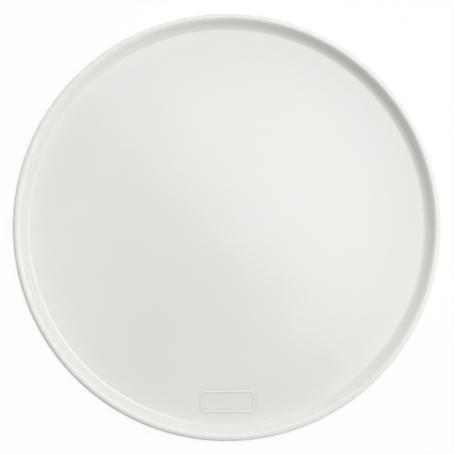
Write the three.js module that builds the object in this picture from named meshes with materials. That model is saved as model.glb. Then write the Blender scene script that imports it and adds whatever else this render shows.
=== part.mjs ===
// A pizza plate of white glazed porcelain: a flat round floor, a low flared wall with a
// rounded lip, and two foot rings underneath. One body is pressed, fired, dipped in glaze
// and wiped dry on its standing rings, so the glaze lies on it in three separate coats.
//
// Units are millimetres, +Z is up, and the origin is on the table under the centre.

import * as THREE from "three";

// Overall sizes, measured over the glaze
const plateDiameter = 305;
const plateHeight = 20;
const floorThickness = 6;

// Wall and lip, measured over the glaze
const wallThickness = 4.4;
const wallFlareDegrees = 16.2;
const lipOuterRadius = 1.6;
const lipInnerRadius = 1.9;
const coveRadius = 5;
const heelRadius = 9;

// Foot ring, which carries the plate, set in from the lip
const footInset = 42.5;
const footHeight = 2.5;
const footWidth = 4;

// Support ring, which keeps the wide floor from sagging and just clears the table
const supportDiameter = 96;
const supportWidth = 4;
const supportClearance = 0.4;

// Both rings
const ringDraftDegrees = 15;
const ringFillet = 1;
const ringEdgeRadius = 0.8;

// Glaze, whose inner face keeps a hair's breadth off the body so that the two stay separate solids
const glazeThickness = 0.3;
const glazeSeatGap = 0.02;

// Fineness of the facets
const turnSteps = 64;
const chordError = 0.08;

// Heights and radii of the bare body, one glaze thickness inside the finished faces
const undersideZ = footHeight + glazeThickness;
const floorZ = footHeight + floorThickness - glazeThickness;
const crestZ = plateHeight - glazeThickness;
const bodyRadius = plateDiameter / 2 - glazeThickness;
const bodyWall = wallThickness - 2 * glazeThickness;
const bodyLipOuter = Math.min(lipOuterRadius, wallThickness / 2) - glazeThickness;
const bodyLipInner = Math.min(lipInnerRadius, wallThickness / 2) - glazeThickness;
const bodyHeel = heelRadius - glazeThickness;
const bodyCove = coveRadius + glazeThickness;
const bodyFillet = ringFillet + glazeThickness;

/** A corner of the section: radius and height, its rounding, and whether it stays unglazed. */
function corner(r, z, rounding = 0, bare = false) {
  return { at: new THREE.Vector2(r, z), rounding, bare };
}

/** The four corners of a ring under the plate, from its inner side to its outer side. */
function ringCorners(middleRadius, width, standZ) {
  const draft = THREE.MathUtils.degToRad(ringDraftDegrees);
  const half = width / 2;
  const spread = half + (undersideZ - standZ) * Math.tan(draft);
  return [
    corner(middleRadius - spread, undersideZ, bodyFillet),
    corner(middleRadius - half, standZ, ringEdgeRadius, true),
    corner(middleRadius + half, standZ, ringEdgeRadius, true),
    corner(middleRadius + spread, undersideZ, bodyFillet),
  ];
}

/** The corners of the heel, the lip and the cove, up the outside and down the inside. */
function wallCorners() {
  const flare = THREE.MathUtils.degToRad(wallFlareDegrees);
  const lean = Math.tan(flare);
  // The lip's rounding touches the body's full radius, so its sharp corner lies outside it.
  const outerTop = bodyRadius + bodyLipOuter * (1 / Math.cos(flare) + lean - 1);
  const innerTop = outerTop - bodyWall / Math.cos(flare);
  return [
    corner(outerTop - (crestZ - undersideZ) * lean, undersideZ, bodyHeel),
    corner(outerTop, crestZ, bodyLipOuter),
    corner(innerTop, crestZ, bodyLipInner),
    corner(innerTop - (crestZ - floorZ) * lean, floorZ, bodyCove),
  ];
}

/** Half of the body's section, from the axis under the floor, round the lip, to the axis on top. */
function bodySection() {
  return [
    corner(0, undersideZ),
    ...ringCorners(supportDiameter / 2, supportWidth, supportClearance),
    ...ringCorners(plateDiameter / 2 - footInset, footWidth, 0),
    ...wallCorners(),
    corner(0, floorZ),
  ];
}

/** The direction that faces out of the body, to the right of a step along its section. */
function outwardOf(direction) {
  return new THREE.Vector2(direction.y, -direction.x);
}

/** A rounded corner as points along its arc, each with the outward direction of the face there. */
function roundedCorner(before, here, after) {
  const into = here.at.clone().sub(before.at).normalize();
  const out = after.at.clone().sub(here.at).normalize();
  const turn = Math.atan2(into.cross(out), into.dot(out));
  const reach = here.rounding * Math.tan(Math.abs(turn) / 2);
  const side = Math.sign(turn);
  const start = here.at.clone().addScaledVector(into, -reach);
  const centre = start.clone().addScaledVector(outwardOf(into), -side * here.rounding);
  const stepAngle = 2 * Math.acos(1 - Math.min(chordError / here.rounding, 1));
  const steps = Math.ceil(Math.abs(turn) / stepAngle);
  const origin = new THREE.Vector2();
  return Array.from({ length: steps + 1 }, (_, i) => {
    const outward = outwardOf(into).rotateAround(origin, (turn * i) / steps);
    const at = centre.clone().addScaledVector(outward, side * here.rounding);
    return { at, outward, bare: here.bare };
  });
}

/** The section with its corners rounded, as points with outward directions. */
function roundedSection(corners) {
  return corners.flatMap((here, i) => {
    const before = corners[i - 1];
    const after = corners[i + 1];
    if (before && after) return roundedCorner(before, here, after);
    const along = before ? here.at.clone().sub(before.at) : after.at.clone().sub(here.at);
    return [{ at: here.at, outward: outwardOf(along.normalize()), bare: here.bare }];
  });
}

/** The stretches of the section that hold glaze, which stop and start again at a bare edge. */
function glazedStretches(points) {
  const stretches = [[]];
  points.forEach((point, i) => {
    const endsBareEdge = point.bare && !points[i + 1].bare;
    const insideBareEdge = point.bare && points[i - 1].bare;
    if (endsBareEdge) stretches.push([point]);
    else if (!insideBareEdge) stretches.at(-1).push(point);
  });
  return stretches;
}

/** A stretch of the section moved straight out of the body's face. */
function raised(stretch, height) {
  return stretch.map(({ at, outward }) => at.clone().addScaledVector(outward, height));
}

/** The closed outline of a coat of glaze, from its seat on the body out to the glazed face. */
function glazeOutline(stretch) {
  const inside = raised(stretch, glazeSeatGap).reverse();
  const outside = raised(stretch, glazeThickness);
  const startsOnAxis = stretch[0].at.x === 0;
  const endsOnAxis = stretch.at(-1).at.x === 0;
  if (startsOnAxis) return [...outside, ...inside];
  if (endsOnAxis) return [...inside, ...outside];
  return [...outside, ...inside, outside[0]];
}

/** A named mesh turned about the +Z axis from an outline of radii and heights. */
function turned(name, outline, material) {
  const geometry = new THREE.LatheGeometry(outline, turnSteps);
  geometry.rotateX(Math.PI / 2);
  const mesh = new THREE.Mesh(geometry, material);
  mesh.name = name;
  return mesh;
}

const bareBody = new THREE.MeshStandardMaterial({ color: "#e6e2d6", roughness: 0.85, metalness: 0 });
const whiteGlaze = new THREE.MeshStandardMaterial({ color: "#e3e4df", roughness: 0.12, metalness: 0 });

const section = roundedSection(bodySection());
const [centreCoat, ringCoat, faceCoat] = glazedStretches(section).map(glazeOutline);

const plate = new THREE.Group();
plate.name = "pizza_plate";
plate.add(
  turned("porcelain_body", section.map(({ at }) => at), bareBody),
  turned("glaze_face_and_rim", faceCoat, whiteGlaze),
  turned("glaze_between_foot_rings", ringCoat, whiteGlaze),
  turned("glaze_inside_support_ring", centreCoat, whiteGlaze),
);

export default plate;
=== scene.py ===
"""A pizza plate of white glazed porcelain on a pale studio floor, seen from straight above.

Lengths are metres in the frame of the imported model: +Z is up, the plate stands on z = 0 and its
axis is the Z axis. The body is one turned piece, and each coat of glaze is grown from its faces.
"""

import logging
import math
from collections.abc import Callable
from dataclasses import dataclass
from enum import Enum

import bmesh
import bpy
from mathutils import Matrix, Vector


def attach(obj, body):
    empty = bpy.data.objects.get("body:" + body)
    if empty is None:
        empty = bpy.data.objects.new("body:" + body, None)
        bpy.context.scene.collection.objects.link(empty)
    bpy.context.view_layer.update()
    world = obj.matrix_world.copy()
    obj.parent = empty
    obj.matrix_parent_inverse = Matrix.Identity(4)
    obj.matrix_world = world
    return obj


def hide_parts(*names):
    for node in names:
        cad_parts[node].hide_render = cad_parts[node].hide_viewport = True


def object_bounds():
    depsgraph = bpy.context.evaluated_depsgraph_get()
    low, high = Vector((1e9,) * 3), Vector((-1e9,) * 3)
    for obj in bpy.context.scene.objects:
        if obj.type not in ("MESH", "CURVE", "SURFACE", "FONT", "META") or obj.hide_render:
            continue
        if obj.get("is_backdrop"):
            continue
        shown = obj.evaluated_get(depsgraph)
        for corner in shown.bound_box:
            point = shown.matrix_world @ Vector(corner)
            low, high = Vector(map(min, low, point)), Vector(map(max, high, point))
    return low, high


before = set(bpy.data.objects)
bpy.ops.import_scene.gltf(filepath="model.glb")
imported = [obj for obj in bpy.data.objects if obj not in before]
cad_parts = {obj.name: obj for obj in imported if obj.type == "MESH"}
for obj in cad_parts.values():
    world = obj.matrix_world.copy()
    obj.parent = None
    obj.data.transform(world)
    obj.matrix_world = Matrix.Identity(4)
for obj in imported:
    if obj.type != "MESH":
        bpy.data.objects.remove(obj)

MM = 0.001
BODY_NAME = "root"
SMOOTH_ANGLE = math.radians(35)
KEY_BEARING = math.radians(42.5)

Tone = tuple[int, int, int]
Range = tuple[float, float]

log = logging.getLogger("pizza_plate")


def linear_colour(red: int, green: int, blue: int) -> tuple[float, float, float, float]:
    """Turns a screen colour into the linear colour that a shader socket takes.

    Args:
        red: Red as shown on screen, from 0 to 255.
        green: Green as shown on screen, from 0 to 255.
        blue: Blue as shown on screen, from 0 to 255.

    Returns:
        The linear red, green and blue, with an alpha of 1.
    """
    def channel(value: int) -> float:
        """Takes one channel through the sRGB curve."""
        share = value / 255
        return share / 12.92 if share <= 0.04045 else ((share + 0.055) / 1.055) ** 2.4

    return channel(red), channel(green), channel(blue), 1.0


@dataclass(frozen=True)
class Corner:
    """A corner of the plate's half section.

    Attributes:
        at: The sharp corner, in the plane of X and Z.
        rounding: The radius that the corner is rounded to, or 0 for a plain point.
    """

    at: Vector
    rounding: float = 0.0


@dataclass(frozen=True)
class PlateSizes:
    """Sizes of the finished plate, measured over its glaze."""

    radius: float
    height: float
    floor_thickness: float = 6 * MM
    wall_thickness: float = 4.4 * MM
    wall_flare: float = math.radians(16.2)
    lip_outer_radius: float = 1.6 * MM
    lip_inner_radius: float = 1.9 * MM
    cove_radius: float = 5 * MM
    heel_radius: float = 9 * MM
    foot_inset: float = 42.5 * MM
    foot_height: float = 2.5 * MM
    support_radius: float = 48 * MM
    support_clearance: float = 0.4 * MM
    ring_width: float = 4 * MM
    ring_draft: float = math.radians(15)
    ring_fillet: float = 1 * MM
    ring_edge_radius: float = 0.8 * MM
    glaze_thickness: float = 0.3 * MM
    glaze_seat_gap: float = 0.02 * MM

    @property
    def floor_z(self) -> float:
        """Height of the glazed floor that the pizza lies on."""
        return self.foot_height + self.floor_thickness

    @property
    def foot_radius(self) -> float:
        """Radius of the middle of the foot ring."""
        return self.radius - self.foot_inset

    @property
    def bare_height(self) -> float:
        """How far a ring stays unglazed above its standing face."""
        side = math.pi / 2 - self.ring_draft
        return self.ring_edge_radius * math.tan(side / 2) * math.cos(self.ring_draft)


class SectionPen:
    """Draws a half section in edit mode, from corner to corner, and turns it into a solid."""

    STEP_ANGLE = math.radians(4)
    LAND = 0.6 * MM
    LONG_RUN = 3 * LAND
    MERGE_DISTANCE = 0.001 * MM

    def __init__(self, name: str, start: Vector) -> None:
        """Starts a new mesh object with a single point.

        Args:
            name: The name of the object.
            start: Where the section begins.
        """
        bpy.ops.object.select_all(action="DESELECT")
        bpy.ops.mesh.primitive_plane_add(size=MM)
        self.piece = bpy.context.active_object
        self.piece.name = name
        self.piece.data.name = name
        bpy.ops.object.mode_set(mode="EDIT")
        bpy.ops.mesh.merge(type="CENTER")
        bpy.ops.transform.translate(value=start)
        self.at = start

    def line_to(self, end: Vector) -> None:
        """Extrudes the pen's point in a straight line.

        Args:
            end: Where the line ends.
        """
        bpy.ops.mesh.extrude_vertices_move(TRANSFORM_OT_translate={"value": end - self.at})
        self.at = end

    def run_to(self, end: Vector) -> None:
        """Draws a straight run, with a short land at each end that keeps a long face level.

        Args:
            end: Where the run ends.
        """
        run = end - self.at
        if run.length > self.LONG_RUN:
            land = run.normalized() * self.LAND
            self.line_to(self.at + land)
            self.line_to(end - land)
        self.line_to(end)

    def round_corner(self, before: Corner, here: Corner, after: Corner) -> None:
        """Draws up to a corner and round it.

        Args:
            before: The corner that the section comes from.
            here: The corner that is rounded.
            after: The corner that the section goes on to.
        """
        into = (here.at - before.at).normalized()
        out = (after.at - here.at).normalized()
        turn = math.atan2(into.x * out.z - into.z * out.x, into.dot(out))
        reach = here.rounding * math.tan(abs(turn) / 2)
        left = Vector((-into.z, 0, into.x))
        self.run_to(here.at - into * reach)
        bpy.ops.mesh.spin(
            steps=math.ceil(abs(turn) / self.STEP_ANGLE),
            angle=turn,
            center=self.at + left * math.copysign(here.rounding, turn),
            axis=(0, 1, 0),
        )
        self.at = here.at + out * reach

    def follow(self, corners: list[Corner]) -> None:
        """Draws on through all the corners.

        Args:
            corners: The section's corners, from the first, where the pen is, to the last.
        """
        for before, here, after in zip(corners, corners[1:], corners[2:]):
            self.round_corner(before, here, after)
        self.run_to(corners[-1].at)

    def turn_about_axis(self, steps: int) -> bpy.types.Object:
        """Spins the section about the Z axis and merges the seam and the pole.

        Args:
            steps: How many facets go round the plate.

        Returns:
            The turned object, in edit mode.
        """
        bpy.ops.mesh.select_all(action="SELECT")
        bpy.ops.mesh.spin(steps=steps, angle=2 * math.pi, center=(0, 0, 0), axis=(0, 0, 1))
        bpy.ops.mesh.select_all(action="SELECT")
        bpy.ops.mesh.remove_doubles(threshold=self.MERGE_DISTANCE)
        return self.piece


@dataclass(frozen=True)
class Cartouche:
    """A blank raised frame pressed into the floor near the rim."""

    length: float = 37.7 * MM
    width: float = 14.3 * MM
    corner_radius: float = 1.8 * MM
    bead_width: float = 1.8 * MM
    bead_height: float = 0.22 * MM
    bead_steps: int = 14
    corner_steps: int = 10
    land: float = 0.3 * MM
    from_centre: float = 125.2 * MM

    def bead_rise(self, step: int) -> float:
        """Height of the bead on its way across, as a bell that starts and ends level.

        Args:
            step: How many steps have been taken across the bead.

        Returns:
            The height over the floor.
        """
        return self.bead_height * math.sin(math.pi * step / self.bead_steps) ** 2

    def build(self, level: float) -> bpy.types.Object:
        """Models the frame from a plane with rounded corners, by one inset after another.

        Args:
            level: The height of the floor that the frame stands on.

        Returns:
            The frame with its flat field, open at its outer edge.
        """
        bpy.ops.object.select_all(action="DESELECT")
        bpy.ops.mesh.primitive_plane_add(size=1)
        piece = bpy.context.active_object
        bpy.ops.object.mode_set(mode="EDIT")
        margin = self.bead_width + 2 * self.land
        bpy.ops.transform.resize(value=(self.length + margin, self.width + margin, 1))
        bpy.ops.transform.translate(value=(0, -self.from_centre, level))
        bpy.ops.mesh.bevel(
            affect="VERTICES",
            offset=self.corner_radius + margin / 2,
            segments=self.corner_steps,
        )
        bpy.ops.mesh.select_all(action="SELECT")
        bpy.ops.mesh.inset(thickness=self.land, depth=0, use_boundary=True)
        for step in range(self.bead_steps):
            bpy.ops.mesh.inset(
                thickness=self.bead_width / self.bead_steps,
                depth=self.bead_rise(step + 1) - self.bead_rise(step),
                use_boundary=True,
            )
        bpy.ops.mesh.inset(thickness=self.land, depth=0, use_boundary=True)
        bpy.ops.object.mode_set(mode="OBJECT")
        return piece


@dataclass(frozen=True)
class PlateBody:
    """The fired body under the glaze: floor, flared wall, lip, heel and two rings."""

    sizes: PlateSizes
    cartouche: Cartouche
    turn_steps: int = 240
    name: str = "fired_body"
    node: str = "porcelain_body"
    slot: str = "body"

    @property
    def underside_z(self) -> float:
        """Height of the body's underside between the rings."""
        return self.sizes.foot_height + self.sizes.glaze_thickness

    @property
    def floor_z(self) -> float:
        """Height of the body's floor under the glaze."""
        return self.sizes.floor_z - self.sizes.glaze_thickness

    def ring_corners(self, middle: float, stand_z: float) -> list[Corner]:
        """Corners of a ring under the plate.

        Args:
            middle: Radius of the middle of the ring.
            stand_z: Height of its standing face.

        Returns:
            Its four corners, from its inner side to its outer side.
        """
        sizes = self.sizes
        half = sizes.ring_width / 2
        spread = half + (self.underside_z - stand_z) * math.tan(sizes.ring_draft)
        fillet = sizes.ring_fillet + sizes.glaze_thickness
        return [
            Corner(Vector((middle - spread, 0, self.underside_z)), fillet),
            Corner(Vector((middle - half, 0, stand_z)), sizes.ring_edge_radius),
            Corner(Vector((middle + half, 0, stand_z)), sizes.ring_edge_radius),
            Corner(Vector((middle + spread, 0, self.underside_z)), fillet),
        ]

    def wall_corners(self) -> list[Corner]:
        """Corners of the wall.

        Returns:
            The heel, both sides of the lip and the cove, up the outside and down the inside.
        """
        sizes = self.sizes
        glaze = sizes.glaze_thickness
        lean = math.tan(sizes.wall_flare)
        upright = math.cos(sizes.wall_flare)
        crest_z = sizes.height - glaze
        outer_lip = sizes.lip_outer_radius - glaze
        outer_top = sizes.radius - glaze + outer_lip * (1 / upright + lean - 1)
        inner_top = outer_top - (sizes.wall_thickness - 2 * glaze) / upright
        heel_foot = outer_top - (crest_z - self.underside_z) * lean
        cove_foot = inner_top - (crest_z - self.floor_z) * lean
        return [
            Corner(Vector((heel_foot, 0, self.underside_z)), sizes.heel_radius - glaze),
            Corner(Vector((outer_top, 0, crest_z)), outer_lip),
            Corner(Vector((inner_top, 0, crest_z)), sizes.lip_inner_radius - glaze),
            Corner(Vector((cove_foot, 0, self.floor_z)), sizes.cove_radius + glaze),
        ]

    def section(self) -> list[Corner]:
        """The half section of the body, without the flat floor that is filled in round the cartouche.

        Returns:
            Its corners, from the axis under the floor, round the lip, to the edge of the flat floor.
        """
        sizes = self.sizes
        wall = self.wall_corners()
        clear_of_cove = 2 * sizes.cove_radius
        floor_edge = wall[-1].at.x - clear_of_cove
        return [
            Corner(Vector((0, 0, self.underside_z))),
            *self.ring_corners(sizes.support_radius, sizes.support_clearance),
            *self.ring_corners(sizes.foot_radius, 0.0),
            *wall,
            Corner(Vector((floor_edge, 0, self.floor_z))),
        ]

    def build(self) -> bpy.types.Object:
        """Turns the section and closes the floor round the cartouche.

        Returns:
            The closed body.
        """
        corners = self.section()
        pen = SectionPen(self.name, corners[0].at)
        pen.follow(corners)
        piece = pen.turn_about_axis(self.turn_steps)
        bpy.ops.object.mode_set(mode="OBJECT")
        frame_piece = self.cartouche.build(self.floor_z)
        bpy.ops.object.select_all(action="DESELECT")
        frame_piece.select_set(True)
        piece.select_set(True)
        bpy.context.view_layer.objects.active = piece
        bpy.ops.object.join()
        bpy.ops.object.mode_set(mode="EDIT")
        bpy.ops.mesh.select_mode(type="EDGE")
        bpy.ops.mesh.select_all(action="DESELECT")
        bpy.ops.mesh.select_non_manifold(extend=False)
        bpy.ops.mesh.fill()
        bpy.ops.mesh.select_all(action="SELECT")
        bpy.ops.mesh.normals_make_consistent(inside=False)
        bpy.ops.object.mode_set(mode="OBJECT")
        return piece


class CoatPlace(Enum):
    """Where on the body a coat of glaze lies."""

    FACE_AND_RIM = "the floor, the wall, the lip and the outside down to the foot ring"
    BETWEEN_RINGS = "the underside between the two rings"
    INSIDE_SUPPORT = "the underside inside the support ring"


@dataclass(frozen=True)
class GlazeCoat:
    """One coat of glaze, grown outwards from the faces of the body that it covers."""

    sizes: PlateSizes
    place: CoatPlace
    name: str
    node: str
    slot: str = "glaze"
    edge_radius: float = 0.12 * MM
    edge_steps: int = 3
    edge_angle: float = math.radians(50)

    def covers(self, middle: Vector) -> bool:
        """Tells whether the coat lies on a face of the body.

        Args:
            middle: The middle of the face.

        Returns:
            True for a face under this coat.
        """
        sizes = self.sizes
        reach = math.hypot(middle.x, middle.y)
        on_foot = abs(reach - sizes.foot_radius) < sizes.ring_width
        on_support = abs(reach - sizes.support_radius) < sizes.ring_width
        if on_foot and middle.z < sizes.bare_height:
            return False
        if on_support and middle.z < sizes.bare_height + sizes.support_clearance:
            return False
        below = middle.z < sizes.foot_height + sizes.glaze_thickness + self.edge_radius
        inside_foot = below and reach < sizes.foot_radius
        inside_support = below and reach < sizes.support_radius
        if self.place is CoatPlace.INSIDE_SUPPORT:
            return inside_support
        if self.place is CoatPlace.BETWEEN_RINGS:
            return inside_foot and not inside_support
        return not inside_foot

    def build(self, body: bpy.types.Object) -> bpy.types.Object:
        """Copies the covered faces off the body and gives them the glaze's thickness.

        Args:
            body: The finished body.

        Returns:
            The closed coat.
        """
        sizes = self.sizes
        bpy.ops.object.select_all(action="DESELECT")
        body.select_set(True)
        bpy.context.view_layer.objects.active = body
        bpy.ops.object.duplicate()
        piece = bpy.context.active_object
        piece.name = self.name
        piece.data.name = self.name
        bpy.ops.object.mode_set(mode="EDIT")
        bpy.ops.mesh.select_mode(type="FACE")
        select_faces(piece, lambda middle: not self.covers(middle))
        bpy.ops.mesh.delete(type="FACE")
        bpy.ops.mesh.select_all(action="SELECT")
        bpy.ops.transform.shrink_fatten(value=sizes.glaze_seat_gap, use_even_offset=True)
        bpy.ops.object.mode_set(mode="OBJECT")
        wall = piece.modifiers.new("glaze_wall", "SOLIDIFY")
        wall.thickness = sizes.glaze_thickness - sizes.glaze_seat_gap
        wall.offset = 1
        wall.use_even_offset = True
        edge = piece.modifiers.new("wiped_edge", "BEVEL")
        edge.width = self.edge_radius
        edge.segments = self.edge_steps
        edge.limit_method = "ANGLE"
        edge.angle_limit = self.edge_angle
        for modifier in (wall, edge):
            bpy.ops.object.modifier_apply(modifier=modifier.name)
        return piece


def select_faces(piece: bpy.types.Object, wanted: Callable[[Vector], bool]) -> None:
    """Selects the faces of a piece in edit mode by where they are.

    Args:
        piece: The object, in edit mode.
        wanted: Takes the middle of a face and tells whether to select it.
    """
    mesh = bmesh.from_edit_mesh(piece.data)
    for face in mesh.faces:
        face.select_set(wanted(face.calc_center_median()))
    bmesh.update_edit_mesh(piece.data)


def smooth(piece: bpy.types.Object) -> None:
    """Shades a piece smooth up to its sharp edges, with flat faces kept flat.

    Args:
        piece: The finished object.
    """
    bpy.ops.object.select_all(action="DESELECT")
    piece.select_set(True)
    bpy.context.view_layer.objects.active = piece
    bpy.ops.object.shade_smooth_by_angle(angle=SMOOTH_ANGLE)
    level = piece.modifiers.new("level_faces", "WEIGHTED_NORMAL")
    level.keep_sharp = True
    bpy.ops.object.modifier_apply(modifier=level.name)


class NodeBoard:
    """A node tree under construction."""

    def __init__(self, tree: bpy.types.NodeTree) -> None:
        """Takes up a tree.

        Args:
            tree: The tree that the nodes go into.
        """
        self.tree = tree

    def put(self, socket: bpy.types.NodeSocket, value: object) -> None:
        """Sets an input, or links it where the value is a socket.

        Args:
            socket: The input.
            value: A plain value or an output socket.
        """
        if isinstance(value, bpy.types.NodeSocket):
            self.tree.links.new(value, socket)
        else:
            socket.default_value = value

    def add(self, kind: str, **settings: object) -> bpy.types.Node:
        """Adds a node and sets its properties.

        Args:
            kind: The node's type.
            **settings: Properties of the node, by name.

        Returns:
            The new node.
        """
        node = self.tree.nodes.new(kind)
        for name, value in settings.items():
            setattr(node, name, value)
        return node

    def fill(self, node: bpy.types.Node, **values: object) -> bpy.types.Node:
        """Sets input sockets by name, or links them where the value is a socket.

        Args:
            node: The node whose inputs are set.
            **values: A value or an output socket for each input, with _ for a space.

        Returns:
            The same node.
        """
        for name, value in values.items():
            self.put(node.inputs[name.replace("_", " ")], value)
        return node

    def math(self, operation: str, first: object, second: object = 0.0) -> bpy.types.NodeSocket:
        """Adds a Math node and gives its result.

        Args:
            operation: The operation's name.
            first: The first value or socket.
            second: The second value or socket.

        Returns:
            The result's socket.
        """
        node = self.add("ShaderNodeMath", operation=operation)
        for socket, value in zip(node.inputs, (first, second)):
            self.put(socket, value)
        return node.outputs[0]

    def ramp(self, value: bpy.types.NodeSocket, low: float, high: float,
             start: object = 0.0, end: object = 1.0) -> bpy.types.NodeSocket:
        """Maps a value smoothly from one range to another, and holds it there.

        Args:
            value: The socket to map.
            low: The value that gives start.
            high: The value that gives end.
            start: The result at low, as a value or a socket.
            end: The result at high, as a value or a socket.

        Returns:
            The result's socket.
        """
        node = self.add("ShaderNodeMapRange", interpolation_type="SMOOTHSTEP")
        self.fill(node, Value=value, From_Min=low, From_Max=high, To_Min=start, To_Max=end)
        return node.outputs["Result"]

    def split(self, place: bpy.types.NodeSocket) -> bpy.types.bpy_prop_collection:
        """Splits a place into its axes.

        Args:
            place: The place's socket.

        Returns:
            The outputs that hold X, Y and Z.
        """
        return self.fill(self.add("ShaderNodeSeparateXYZ"), Vector=place).outputs

    def split_along(self, place: bpy.types.NodeSocket, bearing: float) -> bpy.types.bpy_prop_collection:
        """Splits a place into axes that are turned about Z, so that X points along a bearing.

        Args:
            place: The place's socket.
            bearing: The angle from +X, counted towards +Y.

        Returns:
            The outputs that hold the turned X, Y and Z.
        """
        turned = self.add("ShaderNodeVectorRotate", rotation_type="Z_AXIS")
        self.fill(turned, Vector=place, Angle=-bearing)
        return self.split(turned.outputs["Vector"])

    def mix(self, share: object, first: object, second: object) -> bpy.types.NodeSocket:
        """Mixes two colours.

        Args:
            share: How much of the second colour is taken, as a value or a socket.
            first: The colour or socket at a share of 0.
            second: The colour or socket at a share of 1.

        Returns:
            The mixed colour's socket.
        """
        node = self.add("ShaderNodeMix", data_type="RGBA")
        for name, value in (("Factor_Float", share), ("A_Color", first), ("B_Color", second)):
            self.put(next(entry for entry in node.inputs if entry.identifier == name), value)
        return next(entry for entry in node.outputs if entry.identifier == "Result_Color")


class SharedEffects:
    """Node groups that the finishes of the plate share."""

    CLOUD_EDGES: Range = (0.3, 0.7)
    CLOUD_DETAIL = 3.0
    BROAD_DETAIL = 0.0
    FINE_DETAIL = 1.0

    def __init__(self) -> None:
        """Builds each group once."""
        self.tone_drift = self.build_tone_drift()
        self.fine_relief = self.build_fine_relief()
        self.specks = self.build_specks()

    @staticmethod
    def new_group(name: str, inputs: dict[str, str], output: tuple[str, str]) -> NodeBoard:
        """Starts a group with its sockets.

        Args:
            name: The group's name.
            inputs: The socket type of each input, by name.
            output: The output's name and socket type.

        Returns:
            The board of the group's tree.
        """
        tree = bpy.data.node_groups.new(name, "ShaderNodeTree")
        for socket, kind in inputs.items():
            tree.interface.new_socket(socket, in_out="INPUT", socket_type=kind)
        tree.interface.new_socket(output[0], in_out="OUTPUT", socket_type=output[1])
        return NodeBoard(tree)

    def build_tone_drift(self) -> bpy.types.NodeTree:
        """Makes a slow cloudy drift between two close colours.

        Returns:
            The group.
        """
        board = self.new_group(
            "tone_drift",
            {
                "Vector": "NodeSocketVector",
                "Scale": "NodeSocketFloat",
                "First": "NodeSocketColor",
                "Second": "NodeSocketColor",
            },
            ("Color", "NodeSocketColor"),
        )
        given = board.add("NodeGroupInput").outputs
        cloud = board.add("ShaderNodeTexNoise")
        board.fill(cloud, Vector=given["Vector"], Scale=given["Scale"], Detail=self.CLOUD_DETAIL)
        share = board.ramp(cloud.outputs["Fac"], *self.CLOUD_EDGES)
        board.fill(board.add("NodeGroupOutput"), Color=board.mix(share, given["First"], given["Second"]))
        return board.tree

    def build_fine_relief(self) -> bpy.types.NodeTree:
        """Makes the height of a surface that is uneven at a broad and at a fine scale.

        Returns:
            The group.
        """
        board = self.new_group(
            "fine_relief",
            {
                "Vector": "NodeSocketVector",
                "Broad Scale": "NodeSocketFloat",
                "Fine Scale": "NodeSocketFloat",
                "Fine Share": "NodeSocketFloat",
            },
            ("Height", "NodeSocketFloat"),
        )
        given = board.add("NodeGroupInput").outputs
        broad = board.add("ShaderNodeTexNoise")
        board.fill(broad, Vector=given["Vector"], Scale=given["Broad Scale"], Detail=self.BROAD_DETAIL)
        fine = board.add("ShaderNodeTexNoise")
        board.fill(fine, Vector=given["Vector"], Scale=given["Fine Scale"], Detail=self.FINE_DETAIL)
        ripple = board.math("MULTIPLY", fine.outputs["Fac"], given["Fine Share"])
        board.fill(board.add("NodeGroupOutput"), Height=board.math("ADD", broad.outputs["Fac"], ripple))
        return board.tree

    def build_specks(self) -> bpy.types.NodeTree:
        """Makes a mask of small round specks, in only a few of the cells that could hold one.

        Returns:
            The group.
        """
        board = self.new_group(
            "specks",
            {
                "Vector": "NodeSocketVector",
                "Scale": "NodeSocketFloat",
                "Size": "NodeSocketFloat",
                "Rarity": "NodeSocketFloat",
            },
            ("Mask", "NodeSocketFloat"),
        )
        given = board.add("NodeGroupInput").outputs
        cells = board.add("ShaderNodeTexVoronoi")
        board.fill(cells, Vector=given["Vector"], Scale=given["Scale"])
        picked = board.add("ShaderNodeSeparateColor")
        board.fill(picked, Color=cells.outputs["Color"])
        chosen = board.math("GREATER_THAN", picked.outputs["Red"], given["Rarity"])
        inside = board.math("LESS_THAN", cells.outputs["Distance"], given["Size"])
        board.fill(board.add("NodeGroupOutput"), Mask=board.math("MULTIPLY", chosen, inside))
        return board.tree


@dataclass(frozen=True)
class SpeckField:
    """Small specks in a finish.

    Attributes:
        tone: Their colour on screen.
        scale: How many cells that could hold one go to a metre.
        size: The radius of a speck, in cells.
        rarity: The share of the cells that stay empty.
    """

    tone: Tone
    scale: float
    size: float
    rarity: float


@dataclass(frozen=True)
class Relief:
    """The unevenness of a finish.

    Attributes:
        broad_scale: How many broad swells go to a metre.
        fine_scale: How many fine ripples go to a metre.
        fine_share: The height of the ripples, as a share of the swells' height.
        depth: The height of the swells.
    """

    broad_scale: float
    fine_scale: float
    fine_share: float
    depth: float


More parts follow.
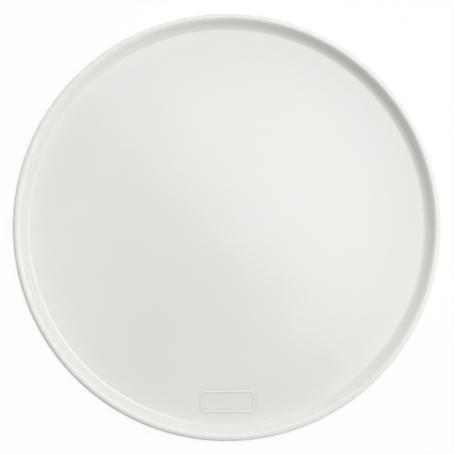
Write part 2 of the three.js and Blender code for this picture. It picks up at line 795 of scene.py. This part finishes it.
class Finish:
    """A procedural material that reads the piece's Object coordinates."""

    def __init__(self, name: str) -> None:
        """Starts the material with an empty board.

        Args:
            name: The material's name.
        """
        self.material = bpy.data.materials.new(name)
        self.material.use_nodes = True
        self.material.node_tree.nodes.clear()
        self.board = NodeBoard(self.material.node_tree)
        self.place = self.board.add("ShaderNodeTexCoord").outputs["Object"]

    def effect(self, group: bpy.types.NodeTree, **values: object) -> bpy.types.NodeSocket:
        """Places a shared effect and gives its output.

        Args:
            group: The effect's node group.
            **values: A value or a socket for each of its inputs.

        Returns:
            The effect's only output.
        """
        node = self.board.add("ShaderNodeGroup", node_tree=group)
        self.board.fill(node, Vector=self.place, **values)
        return node.outputs[0]

    def speckled(self, effects: SharedEffects, colour: object,
                 specks: SpeckField) -> bpy.types.NodeSocket:
        """Scatters specks over a colour.

        Args:
            effects: The shared node groups.
            colour: The colour or socket between the specks.
            specks: The specks.

        Returns:
            The speckled colour's socket.
        """
        mask = self.effect(effects.specks, Scale=specks.scale, Size=specks.size, Rarity=specks.rarity)
        return self.board.mix(mask, colour, linear_colour(*specks.tone))

    def uneven(self, effects: SharedEffects, relief: Relief) -> bpy.types.NodeSocket:
        """Tilts the surface by its unevenness.

        Args:
            effects: The shared node groups.
            relief: The unevenness.

        Returns:
            The normal's socket.
        """
        height = self.effect(
            effects.fine_relief,
            Broad_Scale=relief.broad_scale,
            Fine_Scale=relief.fine_scale,
            Fine_Share=relief.fine_share,
        )
        bump = self.board.add("ShaderNodeBump")
        self.board.fill(bump, Height=height, Strength=1.0, Distance=relief.depth)
        return bump.outputs["Normal"]

    def finish(self, **values: object) -> bpy.types.Material:
        """Adds the shader and the output.

        Args:
            **values: A value or a socket for each input of the shader that is set.

        Returns:
            The finished material.
        """
        shader = self.board.fill(self.board.add("ShaderNodeBsdfPrincipled"), **values)
        output = self.board.add("ShaderNodeOutputMaterial")
        self.board.fill(output, Surface=shader.outputs["BSDF"])
        return self.material


@dataclass(frozen=True)
class GlazeFinish:
    """Glossy white glaze, cloudy by a hair, deeper where it pools and paler where it runs thin, with a
    painted highlight on the crest of the frame's bead and painted shade beside it.

    Attributes:
        sizes: The plate's sizes.
        cartouche: The raised frame, whose bead gets a painted highlight on its crest and painted shade
            beside it.
        tone: The glaze at one end of its drift.
        warm_tone: The glaze at the other end.
        pooled_tone: The glaze in the cove.
        thin_tone: The glaze on the crest of the lip.
        crest_highlight_tone: The glaze on the crest of the frame's bead, painted lighter as a highlight.
        beside_shade_tone: The glaze on both sides of the bead, painted darker as shade.
        drift_scale: How many clouds of the drift go to a metre.
        specks: The few iron specks.
        relief: The swell that a dipped glaze has.
        roughness: The roughness of its gloss.
        refraction: Its index of refraction.
        pool_width: How far the pool reaches from the middle of the cove.
        thin_depth: How far down the lip the thin glaze reaches.
        crest_highlight_reach: How far the painted highlight reaches from the middle line of the bead.
        beside_shade_reach: Where the painted shade beside the bead starts to fade, and where it ends.
    """

    sizes: PlateSizes
    cartouche: Cartouche
    tone: Tone = (227, 227, 224)
    warm_tone: Tone = (226, 227, 222)
    pooled_tone: Tone = (223, 225, 220)
    thin_tone: Tone = (228, 228, 224)
    crest_highlight_tone: Tone = (233, 234, 230)
    beside_shade_tone: Tone = (221, 222, 217)
    drift_scale: float = 14.0
    specks: SpeckField = SpeckField(tone=(170, 164, 150), scale=45.0, size=0.012, rarity=0.93)
    relief: Relief = Relief(broad_scale=30.0, fine_scale=420.0, fine_share=0.06, depth=0.12 * MM)
    roughness: float = 0.14
    refraction: float = 1.5
    pool_width: float = 4 * MM
    thin_depth: float = 0.8 * MM
    crest_highlight_reach: float = 0.8 * MM
    beside_shade_reach: Range = (1.2 * MM, 2.4 * MM)

    def off_cove(self, board: NodeBoard, axes: bpy.types.bpy_prop_collection) -> bpy.types.NodeSocket:
        """Distance from the ring where the wall meets the floor, seen from above.

        Args:
            board: The material's board.
            axes: The outputs that hold X, Y and Z.

        Returns:
            The distance's socket.
        """
        sizes = self.sizes
        wall_run = (sizes.height - sizes.floor_z) * math.tan(sizes.wall_flare)
        cove_middle = sizes.radius - sizes.wall_thickness - wall_run
        square_x = board.math("POWER", axes["X"], 2.0)
        square_y = board.math("POWER", axes["Y"], 2.0)
        reach = board.math("SQRT", board.math("ADD", square_x, square_y))
        return board.math("ABSOLUTE", board.math("SUBTRACT", reach, cove_middle))

    def off_bead(self, board: NodeBoard, axes: bpy.types.bpy_prop_collection) -> bpy.types.NodeSocket:
        """Distance on the floor from the middle line of the frame's bead.

        Args:
            board: The material's board.
            axes: The outputs that hold X, Y and Z.

        Returns:
            The distance's socket.
        """
        cartouche = self.cartouche
        rounding = cartouche.corner_radius
        along = board.math("ABSOLUTE", axes["X"])
        across = board.math("ABSOLUTE", board.math("ADD", axes["Y"], cartouche.from_centre))
        past_end = board.math("SUBTRACT", along, cartouche.length / 2 - rounding)
        past_side = board.math("SUBTRACT", across, cartouche.width / 2 - rounding)
        square_end = board.math("POWER", board.math("MAXIMUM", past_end, 0.0), 2.0)
        square_side = board.math("POWER", board.math("MAXIMUM", past_side, 0.0), 2.0)
        outside = board.math("SQRT", board.math("ADD", square_end, square_side))
        inside = board.math("MINIMUM", board.math("MAXIMUM", past_end, past_side), 0.0)
        from_line = board.math("SUBTRACT", board.math("ADD", outside, inside), rounding)
        return board.math("ABSOLUTE", from_line)

    def build(self, effects: SharedEffects) -> bpy.types.Material:
        """Makes the material.

        Args:
            effects: The shared node groups.

        Returns:
            The glaze's material.
        """
        sizes = self.sizes
        look = Finish("white_glaze")
        board = look.board
        axes = board.split(look.place)
        above_floor = board.math("GREATER_THAN", axes["Z"], sizes.floor_z - sizes.glaze_thickness)
        in_cove = board.ramp(self.off_cove(board, axes), self.pool_width, 0.0)
        off_bead = self.off_bead(board, axes)
        # Painted shade on both sides of the frame's bead.
        beside_shade_mask = board.ramp(off_bead, *reversed(self.beside_shade_reach))
        # A painted highlight along the crest of the frame's bead.
        crest_highlight_mask = board.ramp(off_bead, self.crest_highlight_reach, 0.0)
        on_crest = board.ramp(axes["Z"], sizes.height - self.thin_depth, sizes.height)
        # Glaze pooled in the cove, painted shade beside the bead, a painted highlight on the bead's
        # crest, and thin glaze on the lip's crest.
        layers = [
            (board.math("MULTIPLY", in_cove, above_floor), self.pooled_tone),
            (board.math("MULTIPLY", beside_shade_mask, above_floor), self.beside_shade_tone),
            (board.math("MULTIPLY", crest_highlight_mask, above_floor), self.crest_highlight_tone),
            (on_crest, self.thin_tone),
        ]
        colour = look.effect(
            effects.tone_drift,
            Scale=self.drift_scale,
            First=linear_colour(*self.tone),
            Second=linear_colour(*self.warm_tone),
        )
        for mask, tone in layers:
            colour = board.mix(mask, colour, linear_colour(*tone))
        return look.finish(
            Base_Color=look.speckled(effects, colour, self.specks),
            Roughness=self.roughness,
            IOR=self.refraction,
            Normal=look.uneven(effects, self.relief),
        )


@dataclass(frozen=True)
class BisqueFinish:
    """Bare fired porcelain, matt and slightly sandy, as it shows on the standing edges."""

    tone: Tone = (224, 219, 206)
    dark_tone: Tone = (212, 206, 192)
    drift_scale: float = 90.0
    specks: SpeckField = SpeckField(tone=(150, 140, 124), scale=260.0, size=0.16, rarity=0.8)
    relief: Relief = Relief(broad_scale=700.0, fine_scale=2600.0, fine_share=0.6, depth=0.06 * MM)
    roughness: float = 0.85

    def build(self, effects: SharedEffects) -> bpy.types.Material:
        """Makes the material.

        Args:
            effects: The shared node groups.

        Returns:
            The bare body's material.
        """
        look = Finish("bare_bisque")
        drift = look.effect(
            effects.tone_drift,
            Scale=self.drift_scale,
            First=linear_colour(*self.tone),
            Second=linear_colour(*self.dark_tone),
        )
        return look.finish(
            Base_Color=look.speckled(effects, drift, self.specks),
            Roughness=self.roughness,
            Normal=look.uneven(effects, self.relief),
        )


@dataclass(frozen=True)
class StudioFloor:
    """The pale floor, which shows white and keeps a close shadow, wider on the side away from the key.

    Attributes:
        side: The length of its sides.
        drop: How far it lies under the plate's foot.
        shade_edges: Where the shaded side ends and the key's side starts, along the key's bearing.
        lit_inset: How far the close shadow is drawn in on the key's side.
        near_share: The share of the matt floor under the plate.
        open_share: Its share out in the open.
        contact_radii: Where the close shadow starts to fade, and where it ends.
        mirrored_radii: The same, for the floor as the glaze mirrors it.
        open_radii: The same, for the faint shadow in the open.
        seen_tone: The matt floor as the camera sees it.
        shade_side_tone: The matt floor that lights the plate from below and that the glaze mirrors near
            it, painted dark as shade on the side away from the key.
        lit_tone: The same, painted light on the key's side.
    """

    side: float = 12.0
    drop: float = 0.05 * MM
    shade_edges: Range = (-0.02, 0.09)
    lit_inset: float = 2 * MM
    near_share: float = 1.0
    open_share: float = 0.06
    contact_radii: Range = (0.1533, 0.155)
    mirrored_radii: Range = (0.15, 0.25)
    open_radii: Range = (0.3, 0.6)
    seen_tone: Tone = (252, 252, 252)
    shade_side_tone: Tone = (150, 150, 149)
    lit_tone: Tone = (235, 235, 234)

    def build(self) -> bpy.types.Object:
        """Makes the floor and its material.

        Returns:
            The floor.
        """
        bpy.ops.object.select_all(action="DESELECT")
        bpy.ops.mesh.primitive_plane_add(size=self.side)
        floor = bpy.context.active_object
        floor.name = "studio_floor"
        bpy.ops.object.mode_set(mode="EDIT")
        bpy.ops.transform.translate(value=(0, 0, -self.drop))
        bpy.ops.object.mode_set(mode="OBJECT")
        floor.data.materials.append(self.material())
        floor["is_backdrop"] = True
        return floor

    def material(self) -> bpy.types.Material:
        """Mixes a plain white with a matt floor that takes the plate's shadow, with painted shade on the
        floor's side away from the key for all but camera rays.

        Returns:
            The floor's material.
        """
        look = Finish("studio_white")
        board = look.board
        away = board.fill(board.add("ShaderNodeVectorMath", operation="LENGTH"), Vector=look.place)
        reach = away.outputs["Value"]
        path = board.add("ShaderNodeLightPath").outputs
        camera = path["Is Camera Ray"]
        mirrored = board.math("MAXIMUM", path["Is Glossy Ray"], path["Is Transmission Ray"])
        towards_key = board.split_along(look.place, KEY_BEARING)["X"]
        on_key_side = board.ramp(towards_key, *self.shade_edges)
        under_rim = board.math("ADD", reach, board.math("MULTIPLY", on_key_side, self.lit_inset))
        contact = board.ramp(under_rim, *self.contact_radii, self.near_share, self.open_share)
        in_picture = board.math("MULTIPLY", camera, contact)
        # Near the plate the glaze mirrors the matt floor as painted shade on the side away from the key,
        # and the white on the key's side.
        shaded = board.ramp(towards_key, *self.shade_edges, self.near_share, self.open_share)
        reflected = board.ramp(reach, *self.mirrored_radii, shaded, self.open_share)
        in_mirror = board.math("MULTIPLY", mirrored, reflected)
        near = board.ramp(reach, *self.open_radii, 1.0, 0.0)
        shadow = board.math("MULTIPLY", board.math("ADD", in_picture, in_mirror), near)
        seen = board.math("MAXIMUM", camera, mirrored)
        white = board.math("MULTIPLY", seen, board.math("SUBTRACT", 1.0, shadow))
        # Painted shade on the floor away from the key and painted light on the key's side, for the rays
        # that light and mirror the plate.
        side_painted_tone = board.mix(on_key_side, linear_colour(*self.shade_side_tone), linear_colour(*self.lit_tone))
        tone = board.mix(camera, side_painted_tone, linear_colour(*self.seen_tone))
        matt = board.fill(board.add("ShaderNodeBsdfDiffuse"), Color=tone)
        glow = board.add("ShaderNodeEmission")
        both = board.add("ShaderNodeMixShader")
        for socket, value in zip(both.inputs, (white, matt.outputs[0], glow.outputs[0])):
            board.put(socket, value)
        output = board.add("ShaderNodeOutputMaterial")
        board.fill(output, Surface=both.outputs[0])
        return look.material


@dataclass(frozen=True)
class SoftBox:
    """A level soft box over the plate, off to one side of its middle.

    Attributes:
        name: The lamp's name.
        bearing: The side that it hangs on, as an angle from +X towards +Y.
        inner_edge: How far its nearest edge is from the plate's axis.
        depth: Its length along the bearing.
        width: Its length across the bearing.
        power: Its power in watts.
        shift: How far its middle is off the bearing, towards growing angles.
        height: Its height over the table.
    """

    name: str
    bearing: float
    inner_edge: float
    depth: float
    width: float
    power: float
    shift: float = 0.0
    height: float = 2.2

    def build(self) -> None:
        """Hangs the box with its width across its bearing."""
        lamp = bpy.data.lights.new(self.name, "AREA")
        lamp.shape = "RECTANGLE"
        lamp.size = self.depth
        lamp.size_y = self.width
        lamp.energy = self.power
        box = bpy.data.objects.new(self.name, lamp)
        middle = Vector((self.inner_edge + self.depth / 2, self.shift, self.height))
        box.location = Matrix.Rotation(self.bearing, 3, "Z") @ middle
        box.rotation_euler = (0, 0, self.bearing)
        bpy.context.scene.collection.objects.link(box)


@dataclass(frozen=True)
class Studio:
    """The light: a key box overhead, three small boxes that fill in, and a room lit on the key's side.

    Attributes:
        key_box: The large box, whose inner edge shades off over the middle of the floor.
        left_box: The fill at the left.
        near_box: The fill in front, to the right.
        right_box: A strip that lifts the floor along the right wall.
        room_light: The strength of the light from all round.
        half_light: The strength added on the key's half of the room.
        lit_edges: Where that half starts and is full, along the key's bearing.
        card_light: The strength added low down on that half.
        card_edges: The height where the low light starts to fade, and where it ends.
        side_light: The strength added to the low light across the key's bearing.
        side_edges: Where that starts and is full, across the bearing.
    """

    key_box: SoftBox = SoftBox(
        name="key_box",
        bearing=math.radians(40),
        inner_edge=0.05,
        depth=1.2,
        width=1.15,
        power=16.2,
        shift=-0.08,
    )
    left_box: SoftBox = SoftBox(
        name="left_box",
        bearing=math.radians(168),
        inner_edge=0.18,
        depth=1.0,
        width=0.6,
        power=3.0,
    )
    near_box: SoftBox = SoftBox(
        name="near_box",
        bearing=math.radians(-62),
        inner_edge=0.2,
        depth=0.5,
        width=0.4,
        power=0.6,
    )
    right_box: SoftBox = SoftBox(
        name="right_box",
        bearing=math.radians(18),
        inner_edge=0.29,
        depth=0.12,
        width=0.62,
        power=0.98,
    )
    room_light: float = 0.175
    half_light: float = 0.435
    lit_edges: Range = (-0.8, -0.2)
    card_light: float = 2.1
    card_edges: Range = (0.15, 0.45)
    side_light: float = 1.7
    side_edges: Range = (0.4, 0.9)

    def build(self) -> None:
        """Makes the room and the soft boxes."""
        self.light_room()
        for box in (self.key_box, self.left_box, self.near_box, self.right_box):
            box.build()

    def light_room(self) -> None:
        """Makes a world that lights from the key's side and shows as plain white."""
        world = bpy.data.worlds.new("pale_room")
        bpy.context.scene.world = world
        world.use_nodes = True
        world.node_tree.nodes.clear()
        board = NodeBoard(world.node_tree)
        place = board.add("ShaderNodeTexCoord").outputs["Generated"]
        axes = board.split_along(place, KEY_BEARING)
        across = board.ramp(board.math("ABSOLUTE", axes["Y"]), *self.side_edges)
        cards = board.math("ADD", board.math("MULTIPLY", across, self.side_light), self.card_light)
        low_down = board.ramp(axes["Z"], *self.card_edges, 1.0, 0.0)
        lit = board.math("ADD", board.math("MULTIPLY", cards, low_down), self.half_light)
        lit_half = board.ramp(axes["X"], *self.lit_edges)
        lighting = board.math("ADD", board.math("MULTIPLY", lit, lit_half), self.room_light)
        path = board.add("ShaderNodeLightPath").outputs
        seen = board.math("MAXIMUM", path["Is Camera Ray"], path["Is Glossy Ray"])
        seen = board.math("MAXIMUM", seen, path["Is Transmission Ray"])
        unseen = board.math("MULTIPLY", board.math("SUBTRACT", 1.0, seen), lighting)
        background = board.add("ShaderNodeBackground")
        board.fill(background, Strength=board.math("ADD", seen, unseen))
        output = board.add("ShaderNodeOutputWorld")
        board.fill(output, Surface=background.outputs["Background"])


@dataclass(frozen=True)
class PictureCamera:
    """A camera almost straight above the plate that frames it as the picture does.

    Attributes:
        sizes: The plate's sizes.
        distance: How far the lens is from the plate's floor.
        lean: How far the camera leans off the plate's axis.
        lean_bearing: The side that it leans to, as an angle from +X towards +Y.
        roll: How far the picture is turned.
        sensor: The sensor's width in millimetres.
        image_side: The picture's width and height in pixels.
        plate_radius_px: The radius of the plate in the picture.
        floor_middle_px: The middle of the plate's floor in the picture, from its upper left corner.
    """

    sizes: PlateSizes
    distance: float = 1.6
    lean: float = math.radians(1.6)
    lean_bearing: float = math.radians(225)
    roll: float = math.radians(-0.2)
    sensor: float = 36.0
    image_side: float = 454.0
    plate_radius_px: float = 213.9
    floor_middle_px: tuple[float, float] = (227.1, 226.9)

    def build(self) -> bpy.types.Object:
        """Makes the camera and sets it as the scene's.

        Returns:
            The camera.
        """
        to_rim = self.distance - (self.sizes.height - self.sizes.floor_z)
        scale = self.sizes.radius / self.plate_radius_px
        lens = bpy.data.cameras.new("picture_camera")
        lens.sensor_width = self.sensor
        lens.lens = self.sensor * to_rim / (self.image_side * scale)
        lean_axis = Vector((-math.sin(self.lean_bearing), math.cos(self.lean_bearing), 0))
        turn = Matrix.Rotation(self.lean, 3, lean_axis) @ Matrix.Rotation(self.roll, 3, "Z")
        from_floor_middle = Vector((
            (self.image_side / 2 - self.floor_middle_px[0]) * scale,
            (self.floor_middle_px[1] - self.image_side / 2) * scale,
            self.distance,
        ))
        camera = bpy.data.objects.new("picture_camera", lens)
        camera.location = Vector((0, 0, self.sizes.floor_z)) + turn @ from_floor_middle
        camera.rotation_euler = turn.to_euler()
        bpy.context.scene.collection.objects.link(camera)
        bpy.context.scene.camera = camera
        return camera


def dress(piece: bpy.types.Object, node: str, material: bpy.types.Material) -> None:
    """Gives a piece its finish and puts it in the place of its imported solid.

    Args:
        piece: The finished piece.
        node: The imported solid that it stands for.
        material: The finish.
    """
    piece.data.materials.clear()
    piece.data.materials.append(material)
    smooth(piece)
    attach(piece, BODY_NAME)
    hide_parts(node)
    log.info("%s: %d faces, for %s", piece.name, len(piece.data.polygons), node)


def main() -> None:
    """Builds the plate, the studio and the camera."""
    logging.basicConfig(level=logging.INFO, format="%(name)s %(message)s")
    cad_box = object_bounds()
    low, high = cad_box
    sizes = PlateSizes(radius=(high.x - low.x) / 2, height=high.z - low.z)
    cartouche = Cartouche()
    body = PlateBody(sizes, cartouche)
    coats = [
        GlazeCoat(sizes, CoatPlace.FACE_AND_RIM, "face_glaze", "glaze_face_and_rim"),
        GlazeCoat(sizes, CoatPlace.BETWEEN_RINGS, "ring_glaze", "glaze_between_foot_rings"),
        GlazeCoat(sizes, CoatPlace.INSIDE_SUPPORT, "centre_glaze", "glaze_inside_support_ring"),
    ]
    effects = SharedEffects()
    glaze = GlazeFinish(sizes, cartouche).build(effects)
    bisque = BisqueFinish().build(effects)
    body_piece = body.build()
    coat_pieces = [coat.build(body_piece) for coat in coats]
    dress(body_piece, body.node, bisque)
    for coat, piece in zip(coats, coat_pieces):
        dress(piece, coat.node, glaze)
    StudioFloor().build()
    Studio().build()
    PictureCamera(sizes).build()
    bpy.context.scene.view_settings.view_transform = "Standard"


if __name__ == "__main__":
    main()
